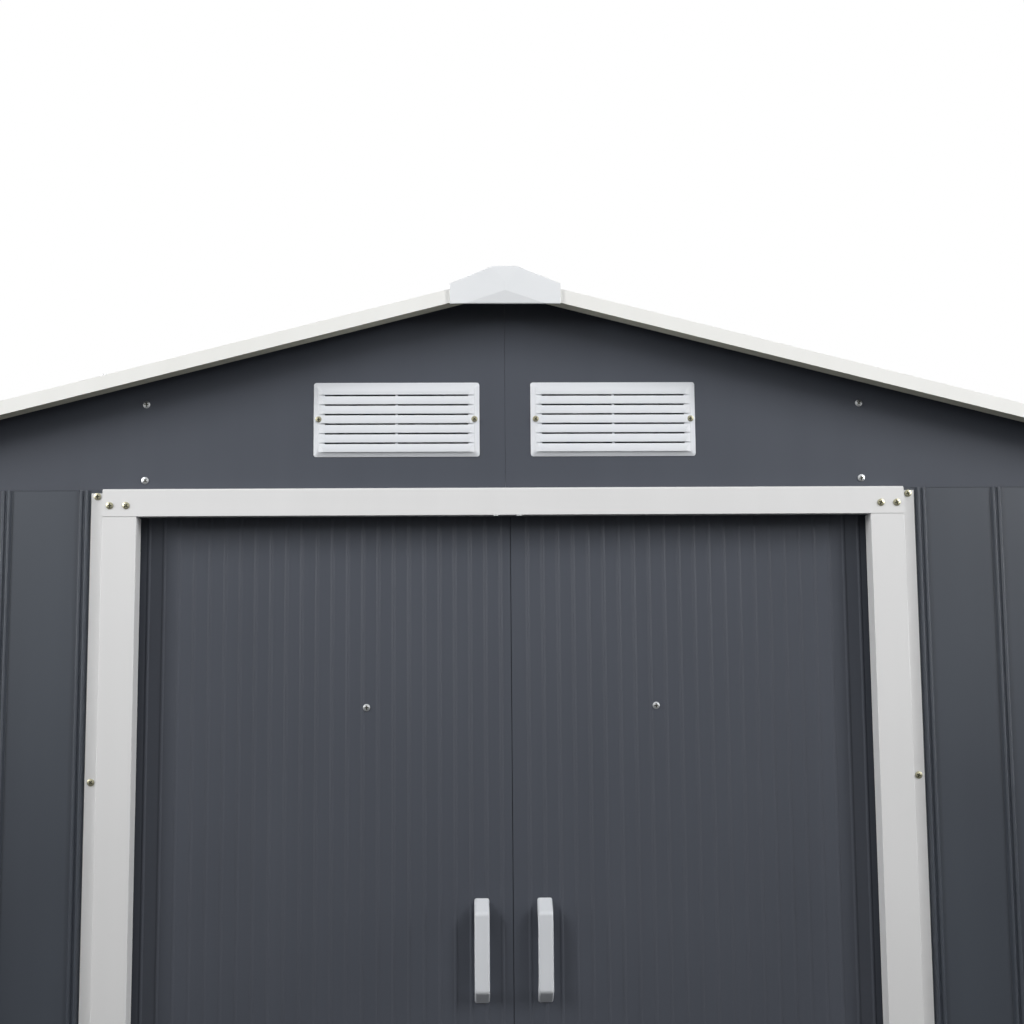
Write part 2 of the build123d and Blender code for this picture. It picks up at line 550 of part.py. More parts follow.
def door_sheet(left_edge, meets_left):
    """Beaded door sheet from its left edge on, returned at the jamb and stepped or plain at the meeting."""
    right_edge = left_edge + DOOR_WIDTH
    line = []
    last_bead = int((DOOR_WIDTH - BEAD_LEFT_MARGIN - BEAD_RIGHT_MARGIN) // BEAD_PITCH)
    for i in range(last_bead + 1):
        c = left_edge + BEAD_LEFT_MARGIN + i * BEAD_PITCH
        line += [(c - BEAD_BASE / 2, door_y), (c - BEAD_CROWN / 2, door_y - BEAD_DEPTH)]
        line += [(c + BEAD_CROWN / 2, door_y - BEAD_DEPTH), (c + BEAD_BASE / 2, door_y)]
    if meets_left:
        step = [(left_edge - DOOR_LAP, door_y + DOOR_LAP_STEP), (left_edge, door_y + DOOR_LAP_STEP)]
        line = step + [(left_edge, door_y)] + line
        line += [(right_edge, door_y), (right_edge, door_y + DOOR_RETURN)]
    else:
        line = [(left_edge, door_y + DOOR_RETURN), (left_edge, door_y)] + line + [(right_edge, door_y)]
    return along_z(folded(line, SHEET), DOOR_BOTTOM, DOOR_TOP)


def door_braces(low, high):
    """Channels across the back of a door sheet, at its ends and at the screwed heights between."""
    middles = (DOOR_BOTTOM + BRACE_HEIGHT / 2,) + BRACE_HEIGHTS + (DOOR_TOP - BRACE_HEIGHT / 2,)
    braces = None
    for z in middles:
        bottom = z - BRACE_HEIGHT / 2
        top = z + BRACE_HEIGHT / 2
        line = [(brace_back, bottom), (brace_y, bottom), (brace_y, top), (brace_back, top),
                (brace_back, top - BRACE_DEEP / 2)]
        brace = along_x(folded(line, -FRAME_SHEET), low, high)
        braces = brace if braces is None else braces + brace
    return braces


def door_runners(low, high):
    """Two hangers hooked into the track gutter and two shoes astride the threshold lip."""
    floor = TRACK_FLOOR + RAIL_SHEET + FIT_GAP
    foot_front = FRONT + TRACK_LIP_IN + RAIL_SHEET + FIT_GAP
    foot_back = FRONT + TRACK_BACK - RAIL_SHEET - FIT_GAP
    arm_low = TRACK_FLOOR + TRACK_LIP + HANGER_LIFT
    arm_high = arm_low + HANGER_HEAD
    grip_low = DOOR_TOP - HANGER_GRIP
    hanger_back = brace_back + HANGER_PLATE
    hanger = [(brace_back, grip_low), (hanger_back, grip_low), (hanger_back, arm_low), (foot_front, arm_low),
              (foot_front, floor), (foot_back, floor), (foot_back, arm_high), (brace_back, arm_high)]
    lip_middle = FRONT + GUIDE_IN - RAIL_SHEET / 2
    slot_top = GUIDE_LIP + SHOE_SLOT_ROOF
    shoe = [(lip_middle - SHOE_WIDTH / 2, DOOR_BOTTOM), (lip_middle - SHOE_WIDTH / 2, SHOE_FLOOR_GAP),
            (lip_middle - SHOE_SLOT / 2, SHOE_FLOOR_GAP), (lip_middle - SHOE_SLOT / 2, slot_top),
            (lip_middle + SHOE_SLOT / 2, slot_top), (lip_middle + SHOE_SLOT / 2, SHOE_FLOOR_GAP),
            (lip_middle + SHOE_WIDTH / 2, SHOE_FLOOR_GAP), (lip_middle + SHOE_WIDTH / 2, DOOR_BOTTOM)]
    runners = None
    for middle in (low + HANGER_INSET, high - HANGER_INSET):
        pair = along_x(hanger, middle - HANGER_LENGTH / 2, middle + HANGER_LENGTH / 2)
        pair += along_x(shoe, middle - SHOE_LENGTH / 2, middle + SHOE_LENGTH / 2)
        runners = pair if runners is None else runners + pair
    return runners


def door_handle(middle):
    """Bow handle with a foot at each end, seated on the flat between two beads."""
    half = HANDLE_LENGTH / 2
    reach = door_y - BEAD_DEPTH - HANDLE_REACH
    seat = door_y - BEAD_DEPTH
    grip_back = reach + HANDLE_GRIP
    outline = [(seat, HANDLE_Z - half), (reach, HANDLE_Z - half + HANDLE_FOOT),
               (reach, HANDLE_Z + half - HANDLE_FOOT), (seat, HANDLE_Z + half),
               (seat, HANDLE_Z + half - HANDLE_FOOT), (grip_back, HANDLE_Z + half - 2 * HANDLE_FOOT),
               (grip_back, HANDLE_Z - half + 2 * HANDLE_FOOT), (seat, HANDLE_Z - half + HANDLE_FOOT)]
    handle = along_x(outline, middle - HANDLE_WIDTH / 2, middle + HANDLE_WIDTH / 2)
    handle = fillet(handle.edges().filter_by(Axis.X).group_by(Axis.Y)[0], HANDLE_BEND)
    return fillet(handle.edges().filter_by(Axis.Z).group_by(Axis.Y)[0], HANDLE_ROUND)


left_edges = (DOOR_SEAM_X - DOOR_SEAM / 2 - DOOR_WIDTH, DOOR_SEAM_X + DOOR_SEAM / 2)
for side, left_edge in zip(("left", "right"), left_edges):
    inner = (left_edge + BRACE_INSET, left_edge + DOOR_WIDTH - BRACE_INSET)
    parts[side + "_door_sheet"] = door_sheet(left_edge, side == "right")
    parts[side + "_door_braces"] = door_braces(*inner)
    parts[side + "_door_runners"] = door_runners(*inner)
handle_reach = DOOR_SEAM / 2 + HANDLE_FROM_SEAM
parts["left_door_handle"] = door_handle(DOOR_SEAM_X - handle_reach)
parts["right_door_handle"] = door_handle(DOOR_SEAM_X + handle_reach)

os.makedirs("parts", exist_ok=True)
for name, shape in parts.items():
    export_step(shape, os.path.join("parts", name + ".step"))
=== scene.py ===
"""Looks of the metal storage shed: finishes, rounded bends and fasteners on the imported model, and
the floor, lamps and camera around it."""
import json
import math

import bmesh
import bpy
from mathutils import Matrix, Vector


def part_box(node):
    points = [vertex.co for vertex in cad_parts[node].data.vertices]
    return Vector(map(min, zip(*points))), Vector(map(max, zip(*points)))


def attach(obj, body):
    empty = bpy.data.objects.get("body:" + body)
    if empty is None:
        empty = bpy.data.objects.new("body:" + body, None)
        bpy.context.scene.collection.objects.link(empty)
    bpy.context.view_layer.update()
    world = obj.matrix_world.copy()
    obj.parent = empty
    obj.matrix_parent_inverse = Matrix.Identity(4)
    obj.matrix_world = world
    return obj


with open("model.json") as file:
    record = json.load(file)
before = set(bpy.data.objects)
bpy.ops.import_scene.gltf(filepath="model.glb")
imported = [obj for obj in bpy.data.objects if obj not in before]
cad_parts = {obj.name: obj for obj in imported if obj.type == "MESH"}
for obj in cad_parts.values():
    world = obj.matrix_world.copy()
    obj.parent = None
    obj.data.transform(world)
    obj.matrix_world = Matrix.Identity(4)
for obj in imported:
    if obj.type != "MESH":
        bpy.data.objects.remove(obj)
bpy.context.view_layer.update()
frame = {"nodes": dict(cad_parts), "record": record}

# Sizes that the solids share, in metres
MM = 0.001
ROOF_PITCH = math.radians(14.3)
SHEET = 0.8 * MM
TRIM_SHEET = 1.0 * MM
RIB_DEPTH = 6.0 * MM
RIB_PITCH = 115.0 * MM
BEAD_DEPTH = 0.9 * MM

# Ways that a fastener can face
TO_FRONT = Vector((0, -1, 0))
TO_REAR = Vector((0, 1, 0))
TO_LEFT = Vector((-1, 0, 0))
TO_RIGHT = Vector((1, 0, 0))
DOWN = Vector((0, 0, -1))


def linear(hex_colour):
    """Linear RGBA of an sRGB hex colour."""
    channels = [int(hex_colour[i:i + 2], 16) / 255 for i in (1, 3, 5)]
    return [c / 12.92 if c <= 0.04045 else ((c + 0.055) / 1.055) ** 2.4 for c in channels] + [1.0]


def add(tree, kind, inputs=None, **settings):
    """Adds a node, sets its properties and fills or links its inputs."""
    node = tree.nodes.new(kind)
    for name, value in settings.items():
        setattr(node, name, value)
    for socket, value in (inputs or {}).items():
        if isinstance(value, bpy.types.NodeSocket):
            tree.links.new(value, node.inputs[socket])
        else:
            node.inputs[socket].default_value = value
    return node


def start_material(name):
    """A new material with its node tree, its shader and the Object coordinates."""
    material = bpy.data.materials.new(name)
    material.use_nodes = True
    tree = material.node_tree
    shader = tree.nodes["Principled BSDF"]
    return material, tree, shader, add(tree, "ShaderNodeTexCoord").outputs["Object"]


def coil_coated_steel(name, deep, pale, roughness, specular, underside_shade=None):
    """Steel strip coated in the coil and then roll-formed: satin, with a faint orange peel in the
    lacquer, a slow drift of tone along the strip and flats that are never quite flat. Faces that
    look at the ground can be mixed towards a darker olive colour: painted shade for the light that
    misses them from below."""
    drift_size = 420 * MM
    streak_width = 36 * MM
    streak_length = 900 * MM
    streak_share = 0.35
    gloss_swing = 0.06
    buckle_size = 260 * MM
    buckle_depth = 2.2 * MM
    # Lacquer ripples are about 1.5 mm across and are drawn at 4 mm so that they show
    peel_size = 4 * MM
    peel_depth = 0.025 * MM
    material, tree, shader, place = start_material(name)
    drift = add(tree, "ShaderNodeTexNoise", {"Vector": place, "Scale": 1 / drift_size, "Detail": 2.0})
    drawn = add(tree, "ShaderNodeMapping", {
        "Vector": place, "Scale": (1 / streak_width, 1 / streak_width, 1 / streak_length)})
    streak = add(tree, "ShaderNodeTexNoise", {
        "Vector": drawn.outputs["Vector"], "Scale": 1.0, "Detail": 1.0})
    both = add(tree, "ShaderNodeMix", {
        "Factor": streak_share, "A": drift.outputs["Fac"], "B": streak.outputs["Fac"]},
        data_type="FLOAT").outputs["Result"]
    spread = add(tree, "ShaderNodeMapRange", {"Value": both, "From Min": 0.3, "From Max": 0.7})
    tone = add(tree, "ShaderNodeMix", {
        "Factor": spread.outputs["Result"], "A": linear(deep), "B": linear(pale)},
        data_type="RGBA").outputs["Result"]
    # Painted shade: faces that look down are mixed towards a darker underside colour
    if underside_shade:
        facing = add(tree, "ShaderNodeNewGeometry").outputs["True Normal"]
        facing = add(tree, "ShaderNodeSeparateXYZ", {"Vector": facing}).outputs["Z"]
        shade_below = add(tree, "ShaderNodeMapRange", {
            "Value": facing, "From Min": -0.8, "From Max": -0.95})
        tone = add(tree, "ShaderNodeMix", {
            "Factor": shade_below.outputs["Result"], "A": tone, "B": linear(underside_shade)},
            data_type="RGBA").outputs["Result"]
    tree.links.new(tone, shader.inputs["Base Color"])
    gloss = add(tree, "ShaderNodeMapRange", {
        "Value": both, "To Min": roughness - gloss_swing, "To Max": roughness + gloss_swing})
    tree.links.new(gloss.outputs["Result"], shader.inputs["Roughness"])
    waves = add(tree, "ShaderNodeTexNoise", {
        "Vector": place, "Scale": 1 / buckle_size, "Detail": 0.0})
    buckle = add(tree, "ShaderNodeBump", {
        "Height": waves.outputs["Fac"], "Distance": buckle_depth, "Strength": 1.0})
    peel = add(tree, "ShaderNodeTexNoise", {"Vector": place, "Scale": 1 / peel_size, "Detail": 1.0})
    ripple = add(tree, "ShaderNodeBump", {
        "Height": peel.outputs["Fac"], "Distance": peel_depth, "Strength": 0.6,
        "Normal": buckle.outputs["Normal"]})
    tree.links.new(ripple.outputs["Normal"], shader.inputs["Normal"])
    shader.inputs["Specular IOR Level"].default_value = specular
    return material


def moulded_plastic(name, deep, pale, roughness, grain):
    """Injection-moulded plastic: an even colour that pools a little, over a fine spark-eroded grain.
    The grain is about 0.3 mm and is drawn coarser so that it shows."""
    flow_size = 60 * MM
    grain_depth = 0.05 * MM
    material, tree, shader, place = start_material(name)
    flow = add(tree, "ShaderNodeTexNoise", {
        "Vector": place, "Scale": 1 / flow_size, "Detail": 3.0}).outputs["Fac"]
    tone = add(tree, "ShaderNodeMix", {"Factor": flow, "A": linear(deep), "B": linear(pale)},
               data_type="RGBA")
    tree.links.new(tone.outputs["Result"], shader.inputs["Base Color"])
    gloss = add(tree, "ShaderNodeMapRange", {
        "Value": flow, "To Min": roughness - 0.05, "To Max": roughness + 0.07})
    tree.links.new(gloss.outputs["Result"], shader.inputs["Roughness"])
    pits = add(tree, "ShaderNodeTexNoise", {"Vector": place, "Scale": 1 / grain, "Detail": 2.0})
    bump = add(tree, "ShaderNodeBump", {
        "Height": pits.outputs["Fac"], "Distance": grain_depth, "Strength": 0.5})
    tree.links.new(bump.outputs["Normal"], shader.inputs["Normal"])
    return material


def hot_dip_galvanised_steel(name):
    """Hot-dip galvanised strip: grey zinc frozen into spangles that differ in tone and gloss, with
    patches of white bloom."""
    spangle_size = 9 * MM
    bloom_size = 70 * MM
    material, tree, shader, place = start_material(name)
    spangle = add(tree, "ShaderNodeTexVoronoi", {"Vector": place, "Scale": 1 / spangle_size})
    cell = add(tree, "ShaderNodeSeparateColor", {"Color": spangle.outputs["Color"]})
    tone = add(tree, "ShaderNodeMix", {
        "Factor": cell.outputs["Red"], "A": linear("#777b7e"), "B": linear("#a3a7a9")},
        data_type="RGBA")
    bloom = add(tree, "ShaderNodeTexNoise", {"Vector": place, "Scale": 1 / bloom_size, "Detail": 6.0})
    cover = add(tree, "ShaderNodeMapRange", {
        "Value": bloom.outputs["Fac"], "From Min": 0.52, "From Max": 0.75, "To Max": 0.6})
    dulled = add(tree, "ShaderNodeMix", {
        "Factor": cover.outputs["Result"], "A": tone.outputs["Result"], "B": linear("#b0b3b4")},
        data_type="RGBA")
    tree.links.new(dulled.outputs["Result"], shader.inputs["Base Color"])
    gloss = add(tree, "ShaderNodeMapRange", {
        "Value": cell.outputs["Green"], "To Min": 0.34, "To Max": 0.56})
    tree.links.new(gloss.outputs["Result"], shader.inputs["Roughness"])
    shader.inputs["Metallic"].default_value = 0.8
    return material


def zinc_plated_steel(name, deep, pale):
    """Zinc-plated and passivated screw steel: bright, with a tumbled scatter of tone from head to
    head."""
    tumble_size = 3 * MM
    material, tree, shader, place = start_material(name)
    tumble = add(tree, "ShaderNodeTexNoise", {
        "Vector": place, "Scale": 1 / tumble_size, "Detail": 3.0}).outputs["Fac"]
    tone = add(tree, "ShaderNodeMix", {"Factor": tumble, "A": linear(deep), "B": linear(pale)},
               data_type="RGBA")
    tree.links.new(tone.outputs["Result"], shader.inputs["Base Color"])
    gloss = add(tree, "ShaderNodeMapRange", {"Value": tumble, "To Min": 0.22, "To Max": 0.42})
    tree.links.new(gloss.outputs["Result"], shader.inputs["Roughness"])
    shader.inputs["Metallic"].default_value = 1.0
    return material


# Finishes by the record's slots, and the nodes that have their own
finishes = {
    "grey_sheet": coil_coated_steel("anthracite_coil_coated_steel", "#484c55", "#4d515a",
                                    roughness=0.5, specular=0.3),
    # The white trims' faces that look down take #c2c0b0, painted shade
    "white_trim": coil_coated_steel("white_coil_coated_steel", "#f0f0ec", "#f6f6f3",
                                    roughness=0.38, specular=0.4, underside_shade="#c2c0b0"),
    "white_plastic": moulded_plastic("white_moulded_plastic", "#dee1e6", "#e5e8ec",
                                     roughness=0.42, grain=1.2 * MM),
    "black_plastic": moulded_plastic("black_moulded_nylon", "#191a1b", "#222324",
                                     roughness=0.5, grain=1.0 * MM),
    "galvanised_rail": hot_dip_galvanised_steel("galvanised_strip_steel"),
}
# Painted shade: the jambs and headers take this darker copy of the trims' white paint, for the lesser
# light that reaches them below the roof trims
shaded_frame_coat = coil_coated_steel("neutral_white_steel_painted_shade", "#e5e5e5", "#ebebeb",
                               roughness=0.38, specular=0.4)
# Painted light: the ridge and corner caps take this paler copy of the vents' white plastic, for the
# greater light that the caps catch standing out at the top of the roof
lit_cap_plastic = moulded_plastic("white_moulded_plastic_painted_light", "#e7eaed", "#eef0f2",
                              roughness=0.42, grain=1.2 * MM)
ribbed_coat = coil_coated_steel("anthracite_roll_formed_steel", "#3b4049", "#40464f",
                                roughness=0.36, specular=0.52)
bright_zinc = zinc_plated_steel("bright_zinc_plated_steel", "#a9acae", "#c6c8c9")
olive_zinc = zinc_plated_steel("olive_passivated_zinc_steel", "#8e8b73", "#b3b09a")
# Painted shade: the cross recesses of the screws take a dark zinc colour for the shade that falls in
# them
recess_shade = zinc_plated_steel("zinc_recess_painted_shade", "#35352c", "#4d4c42")
ribbed = [name for name in frame["nodes"]
          if "_wall_" in name or name.startswith(("roof_left", "roof_right"))]
posts = ["corner_posts_front", "corner_posts_rear"]
jambs = ["door_jamb_left", "door_jamb_right"]
headers = ["door_header_left", "door_header_right"]
caps = ["ridge_end_caps", "roof_corner_caps"]
own_finish = dict.fromkeys(ribbed + posts, ribbed_coat)
own_finish.update(dict.fromkeys(jambs + headers, shaded_frame_coat))
own_finish.update(dict.fromkeys(caps, lit_cap_plastic))
for subpart in frame["record"]["subparts"]:
    mesh = frame["nodes"][subpart["node"]].data
    mesh.materials.clear()
    mesh.materials.append(own_finish.get(subpart["node"], finishes[subpart["material_slot"]]))

# Marks the bends of a folded sheet for rounding: most in the grooves of the ribs, less outside a bend
# and least inside it. The cut rims stay sharp. They are told by a face that is smaller than any strip
# between two bends, so that the mean of the faces at its edges is a half or more, or by a corner that
# is keener than any bend
RIM_AREA = 0.0019
RIM_TOUCHES = 0.25
BEND_ANGLE = math.radians(30)
GROOVE_ANGLE = math.radians(100)
KEEN_ANGLE = math.radians(110)
OUTSIDE_BEND = 0.6
INSIDE_BEND = 0.4
bends = bpy.data.node_groups.new("bends", "GeometryNodeTree")
bends.interface.new_socket("Geometry", in_out="INPUT", socket_type="NodeSocketGeometry")
bends.interface.new_socket("Geometry", in_out="OUTPUT", socket_type="NodeSocketGeometry")
face_area = add(bends, "GeometryNodeInputMeshFaceArea")
is_rim = add(bends, "ShaderNodeMath", {0: face_area.outputs[0], 1: RIM_AREA}, operation="LESS_THAN")
rims = add(bends, "GeometryNodeFieldOnDomain", {0: is_rim.outputs[0]},
           domain="FACE", data_type="FLOAT")
clear_of_rims = add(bends, "ShaderNodeMath", {0: rims.outputs[0], 1: RIM_TOUCHES},
                    operation="LESS_THAN")
bend = add(bends, "GeometryNodeInputMeshEdgeAngle").outputs["Signed Angle"]
share = 0.0
for turn, limit, part in (("GREATER_THAN", BEND_ANGLE, OUTSIDE_BEND),
                          ("GREATER_THAN", KEEN_ANGLE, -OUTSIDE_BEND),
                          ("LESS_THAN", -BEND_ANGLE, INSIDE_BEND),
                          ("LESS_THAN", -GROOVE_ANGLE, 1 - INSIDE_BEND)):
    kind = add(bends, "ShaderNodeMath", {0: bend, 1: limit}, operation=turn)
    share = add(bends, "ShaderNodeMath", {0: kind.outputs[0], 1: part, 2: share},
                operation="MULTIPLY_ADD").outputs[0]
rounding = add(bends, "ShaderNodeMath", {0: share, 1: clear_of_rims.outputs[0]}, operation="MULTIPLY")
marked = add(bends, "GeometryNodeStoreNamedAttribute", {
    "Geometry": add(bends, "NodeGroupInput").outputs[0], "Name": "bevel_weight_edge",
    "Value": rounding.outputs[0]}, data_type="FLOAT", domain="EDGE")
add(bends, "NodeGroupOutput", {0: marked.outputs[0]})


def soften(names, width, folded):
    """Rounds the bends of folded sheets, or all the edges of moulded solids, once their loose
    triangles are joined."""
    join_reach = 0.01 * MM
    flat_angle = math.radians(0.5)
    for name in names:
        stack = frame["nodes"][name].modifiers
        stack.new("joined", "WELD").merge_threshold = join_reach
        if folded:
            flats = stack.new("flats", "DECIMATE")
            flats.decimate_type = "DISSOLVE"
            flats.angle_limit = flat_angle
            stack.new("bends", "NODES").node_group = bends
        rounded = stack.new("rounded", "BEVEL")
        rounded.width = width
        rounded.segments = 2
        rounded.limit_method = "WEIGHT" if folded else "ANGLE"
        rounded.angle_limit = BEND_ANGLE
        rounded.harden_normals = folded


soften(ribbed, width=2.0 * MM, folded=True)
soften(jambs + posts, width=1.6 * MM, folded=True)
soften(["ridge_end_caps", "left_door_handle", "right_door_handle"], width=1.0 * MM, folded=False)
soften(["roof_corner_caps"], width=0.5 * MM, folded=False)


def screw_head(radius, height, washer):
    """Mesh of a domed screw head with a cross recess, on a flat washer where its radius is larger
    than the head's; it sits on z = 0 and faces +Z."""
    dome_share = 0.4
    recess_share = 0.7
    arm = radius * 0.5
    slit = radius * 0.1
    shape = bmesh.new()
    bmesh.ops.create_grid(shape, x_segments=5, y_segments=5, size=1.0)
    for vert in shape.verts:
        ring = max(abs(vert.co.x), abs(vert.co.y))
        vert.co *= radius * ring / vert.co.length
        vert.co.z = height * (1 - dome_share * ring ** 2)
    cross = []
    for face in shape.faces:
        across, along = sorted(abs(c) for c in face.calc_center_median()[:2])
        # The cross faces take the second material, whose dark colour is painted shade in the recess
        if across < slit and along < arm:
            face.material_index = 1
            cross.append(face)
    sunk = bmesh.ops.extrude_face_region(shape, geom=cross)["geom"]
    sunk = [part for part in sunk if isinstance(part, bmesh.types.BMVert)]
    bmesh.ops.translate(shape, vec=(0, 0, -height * recess_share), verts=sunk)
    bmesh.ops.delete(shape, geom=cross, context="FACES")
    rings = [(1.0, 0.0)]
    if washer > radius:
        rings = [(1.0, SHEET), (washer / radius, SHEET), (washer / radius, 0.0)]
    spread = 1.0
    for share, level in rings:
        rim = [edge for edge in shape.edges if edge.is_boundary]
        grown = bmesh.ops.extrude_edge_only(shape, edges=rim)["geom"]
        grown = [part for part in grown if isinstance(part, bmesh.types.BMVert)]
        bmesh.ops.scale(shape, vec=(share / spread, share / spread, 0), verts=grown)
        bmesh.ops.translate(shape, vec=(0, 0, level), verts=grown)
        spread = share
    bmesh.ops.edgeloop_fill(shape, edges=[edge for edge in shape.edges if edge.is_boundary])
    bmesh.ops.recalc_face_normals(shape, faces=shape.faces)
    mesh = bpy.data.meshes.new("screw_head")
    shape.to_mesh(mesh)
    shape.free()
    return mesh


def fasteners(name, body, head, finish, spots):
    """One piece with a screw head at each spot, which is a place and the way that the head faces.
    Each head is turned on from the one before it, because screws stop at any angle."""
    turn_on = 2.4
    shape = bmesh.new()
    for i, (place, facing) in enumerate(spots):
        first = len(shape.verts)
        shape.from_mesh(head)
        shape.verts.ensure_lookup_table()
        turn = Matrix.Rotation(i * turn_on, 4, "Z")
        turn = facing.to_track_quat("Z", "Y").to_matrix().to_4x4() @ turn
        bmesh.ops.transform(shape, matrix=Matrix.Translation(place) @ turn, verts=shape.verts[first:])
    mesh = bpy.data.meshes.new(name)
    shape.to_mesh(mesh)
    shape.free()
    mesh.materials.append(finish)
    mesh.materials.append(recess_shade)
    piece = bpy.data.objects.new(name, mesh)
    bpy.context.scene.collection.objects.link(piece)
    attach(piece, body)


pan_head = screw_head(radius=5.4 * MM, height=2.0 * MM, washer=0.0)
vent_head = screw_head(radius=4.6 * MM, height=1.6 * MM, washer=0.0)
washer_head = screw_head(radius=4.6 * MM, height=4.2 * MM, washer=8.0 * MM)

# Doorway screws: two at each end of the header, a row down each jamb's flange, and two up into the
# header where its halves meet
HEADER_SCREW_DROP = 25 * MM
HEADER_SCREW_INSETS = (11 * MM, 35 * MM)
JAMB_SCREW_INSET = 9 * MM
JAMB_TOP_DROP = 5 * MM
JAMB_SCREW_HEIGHTS = (1.15, 0.7, 0.25)
SPLICE_PLACES = (-15 * MM, 20 * MM)
SPLICE_SETBACK = 6 * MM
header_low, header_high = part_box("door_header_left")
jamb_low, jamb_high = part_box("door_jamb_left")
wall_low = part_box("front_wall_left")[0]
header_z = header_high.z - HEADER_SCREW_DROP
flange_y = wall_low.y + RIB_DEPTH - TRIM_SHEET
doorway = []
for side in (-1, 1):
    for inset in HEADER_SCREW_INSETS:
        x = side * (-header_low.x - inset)
        doorway.append((Vector((x, header_low.y, header_z)), TO_FRONT))
    for z in (jamb_high.z - JAMB_TOP_DROP, *JAMB_SCREW_HEIGHTS):
        x = side * (-jamb_low.x - JAMB_SCREW_INSET)
        doorway.append((Vector((x, flange_y, z)), TO_FRONT))
fasteners("doorway_screws", "shed", pan_head, olive_zinc, doorway)
splice_y = header_low.y + SPLICE_SETBACK
splice = [(Vector((x, splice_y, header_low.z)), DOWN) for x in SPLICE_PLACES]
fasteners("header_splice_screws", "shed", pan_head, bright_zinc, splice)

# Gable screws, by x and z on the right half, and a screw at both ends of each vent. The rear repeats
# the front
GABLE_SCREWS = ((0.539, 1.7101), (0.539, 1.5949), (1.09, 1.5949))
VENT_MIDDLE = 0.1634
VENT_SCREW_INSET = 7.6 * MM
VENT_SCREW_SEAT = 1.8 * MM
gable_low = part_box("front_gable_right")[0]
vent_low, vent_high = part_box("front_vents")
vent_y = vent_low.y + VENT_SCREW_SEAT
vent_z = (vent_low.z + vent_high.z) / 2
outer_x = vent_high.x - VENT_SCREW_INSET
gable_spots = []
vent_spots = []
for end, facing in ((1, TO_FRONT), (-1, TO_REAR)):
    for side in (-1, 1):
        for x, z in GABLE_SCREWS:
            gable_spots.append((Vector((side * x, end * gable_low.y, z)), facing))
        for x in (outer_x, 2 * VENT_MIDDLE - outer_x):
            vent_spots.append((Vector((side * x, end * vent_y, vent_z)), facing))
fasteners("gable_screws", "shed", pan_head, bright_zinc, gable_spots)
fasteners("vent_screws", "shed", vent_head, olive_zinc, vent_spots)

# Wall screws in the flats between ribs, at the base, middle and top rails. The front has the lowest
# row only, and the rear's flats are counted each way from its middle
RAIL_ROWS = (25 * MM, 0.8, 1.56)
FRONT_FLATS = 4
FIRST_FRONT_FLAT = 0.6859
SIDE_FLATS = 14
FIRST_SIDE_FLAT = -0.7475
REAR_FLATS = 9
side_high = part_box("right_wall_front")[1]
flat_x = side_high.x - RIB_DEPTH
flat_y = wall_low.y + RIB_DEPTH
wall_spots = []
for i in range(FRONT_FLATS):
    for side in (-1, 1):
        x = side * (FIRST_FRONT_FLAT + i * RIB_PITCH)
        wall_spots.append((Vector((x, flat_y, RAIL_ROWS[0])), TO_FRONT))
for z in RAIL_ROWS:
    for i in range(SIDE_FLATS):
        y = FIRST_SIDE_FLAT + i * RIB_PITCH
        wall_spots.append((Vector((flat_x, y, z)), TO_RIGHT))
        wall_spots.append((Vector((-flat_x, y, z)), TO_LEFT))
    for i in range(-REAR_FLATS, REAR_FLATS + 1):
        wall_spots.append((Vector((i * RIB_PITCH, -flat_y, z)), TO_REAR))
fasteners("wall_screws", "shed", pan_head, bright_zinc, wall_spots)

# Corner post screws, on both faces of each post
POST_SCREW_INSET = 64 * MM
POST_SCREW_HEIGHTS = (0.12, 0.58, 1.04, 1.5)
post_spots = []
for z in POST_SCREW_HEIGHTS:
    for side, facing in ((-1, TO_LEFT), (1, TO_RIGHT)):
        for end, outward in ((1, TO_FRONT), (-1, TO_REAR)):
            front_place = (side * (side_high.x - POST_SCREW_INSET), end * (flat_y - SHEET), z)
            side_place = (side * (flat_x + SHEET), end * (wall_low.y + POST_SCREW_INSET), z)
            post_spots += [(Vector(front_place), outward), (Vector(side_place), facing)]
fasteners("post_screws", "shed", pan_head, olive_zinc, post_spots)

# Roof screws over the purlins and wall tops and on the trims, each on a washer square to the slope.
# On the left slope those of the trims stand nearer to the edge, where the photograph shows one
RIDGE_GAP = 10 * MM
PURLIN_RUNS = (0.105, 0.57, 1.205)
ROOF_FLATS = 16
FIRST_ROOF_FLAT = -0.8625
TRIM_RUNS = (0.608, 1.2)
LEFT_TRIM_INSET = 9 * MM
RIGHT_TRIM_INSET = 26 * MM
EAVE_RUN = 1.276
EAVE_PLACES = (-0.6, 0.0, 0.6)
CROWN = RIB_DEPTH + SHEET
roof_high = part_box("roof_right_front")[1]
apex = roof_high.z + RIDGE_GAP * math.sin(ROOF_PITCH) - CROWN * math.cos(ROOF_PITCH)


def on_roof(side, run, y, lift):
    """A place on the left or right slope, by its run down the slope and its lift above it, and the
    way that it faces."""
    facing = Vector((side * math.sin(ROOF_PITCH), 0, math.cos(ROOF_PITCH)))
    down = Vector((side * math.cos(ROOF_PITCH), 0, -math.sin(ROOF_PITCH)))
    return Vector((0, y, apex)) + down * run + facing * lift, facing


trim_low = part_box("front_trim_right")[0]
on_trim = CROWN + TRIM_SHEET
roof_spots = []
for side, inset in ((-1, LEFT_TRIM_INSET), (1, RIGHT_TRIM_INSET)):
    for run in PURLIN_RUNS:
        for i in range(ROOF_FLATS):
            roof_spots.append(on_roof(side, run, FIRST_ROOF_FLAT + i * RIB_PITCH, SHEET))
    for run in TRIM_RUNS:
        for end in (-1, 1):
            roof_spots.append(on_roof(side, run, -end * (trim_low.y + inset), on_trim))
    for y in EAVE_PLACES:
        roof_spots.append(on_roof(side, EAVE_RUN, y, on_trim))
fasteners("roof_screws", "shed", washer_head, bright_zinc, roof_spots)

